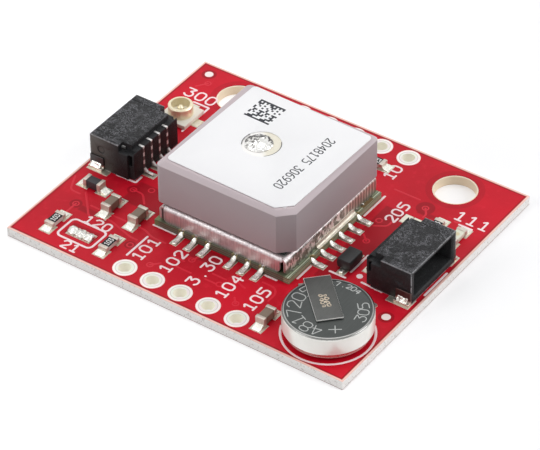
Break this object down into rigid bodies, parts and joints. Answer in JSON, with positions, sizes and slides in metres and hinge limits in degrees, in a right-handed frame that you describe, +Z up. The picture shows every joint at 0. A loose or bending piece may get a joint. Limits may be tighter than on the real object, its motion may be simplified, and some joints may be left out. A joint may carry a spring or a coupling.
{
  "type": "gps module",
  "caption": "Satellite positioning module: a shielded receiver with a square ceramic patch antenna on a small board with cable sockets, a backup cell, a coax socket and header holes",
  "frame": {"origin": "centre of the board's underside, which is also the lowest face", "axes": "+X along the board's long edge toward the cable socket next to the cell, +Y along the short edge toward the mounting holes, +Z up out of the component side"},
  "size_m": [0.0304, 0.0254, 0.0074],
  "materials": {
    "laminate": "cream glass-fibre laminate edge, red mask below",
    "solder_mask": "glossy red mask with lighter copper areas and pale plain marks",
    "tinned_copper": "satin tin",
    "solder": "bright solder",
    "substrate": "grey-green laminate",
    "gold_plating": "pale gold plating",
    "chip_mould": "fine matt black moulding",
    "light_ceramic": "fine grey ceramic",
    "can_metal": "bright rolled sheet",
    "adhesive": "matt dark green-grey pad",
    "patch_body": "warm grey fired ceramic",
    "silver_electrode": "fired silver",
    "label": "white satin label with plain grey marks",
    "socket_mould": "matt dark moulding",
    "tinned_contact": "tinned stamped metal",
    "cell_steel": "drawn steel, bright rim and dull face",
    "cell_seal": "dark seal",
    "tab_steel": "dull nickel strip",
    "coax_mould": "off-white moulding",
    "alumina": "white alumina with a dark film on top",
    "capacitor_body": "taupe ceramic",
    "ferrite": "dark grey ceramic",
    "led_body": "clear cream resin"
  },
  "bodies": {
    "root": {"board_core": "laminate", "mask_top": "solder_mask", "solder_lands": "tinned_copper", "header_barrels_front": "tinned_copper", "header_barrels_back": "tinned_copper", "jumper_solder": "solder", "receiver_substrate": "substrate", "edge_plating_rings": "gold_plating", "edge_solder": "solder", "positioning_chip": "chip_mould", "filter_chip": "light_ceramic", "crystal_can": "can_metal", "memory_chip": "chip_mould", "shield_can": "can_metal", "shield_solder_strip": "solder", "adhesive_pad": "adhesive", "patch_ceramic": "patch_body", "patch_electrode": "silver_electrode", "patch_label": "label", "feed_pin": "gold_plating", "feed_solder": "solder", "socket_left_housing": "socket_mould", "socket_left_contacts": "tinned_contact", "socket_left_tabs": "tinned_contact", "socket_left_solder": "solder", "socket_right_housing": "socket_mould", "socket_right_contacts": "tinned_contact", "socket_right_tabs": "tinned_contact", "socket_right_solder": "solder", "cell_can": "cell_steel", "cell_cap": "cell_steel", "cell_seal_ring": "cell_seal", "cell_upper_tab": "tab_steel", "cell_lower_tab": "tab_steel", "coax_base": "coax_mould", "coax_ring": "gold_plating", "coax_pin": "gold_plating", "resistor_front_left": "alumina", "resistor_front_right": "alumina", "resistor_back": "alumina", "resistor_right": "alumina", "capacitor_front_left": "capacitor_body", "capacitor_front_right": "capacitor_body", "capacitor_corner": "capacitor_body", "ferrite_bead": "ferrite", "status_led": "led_body", "chip_end_caps": "tinned_copper", "chip_solder": "solder", "rectifier_body": "chip_mould", "rectifier_leads": "tinned_contact"}
  },
  "joints": []
}
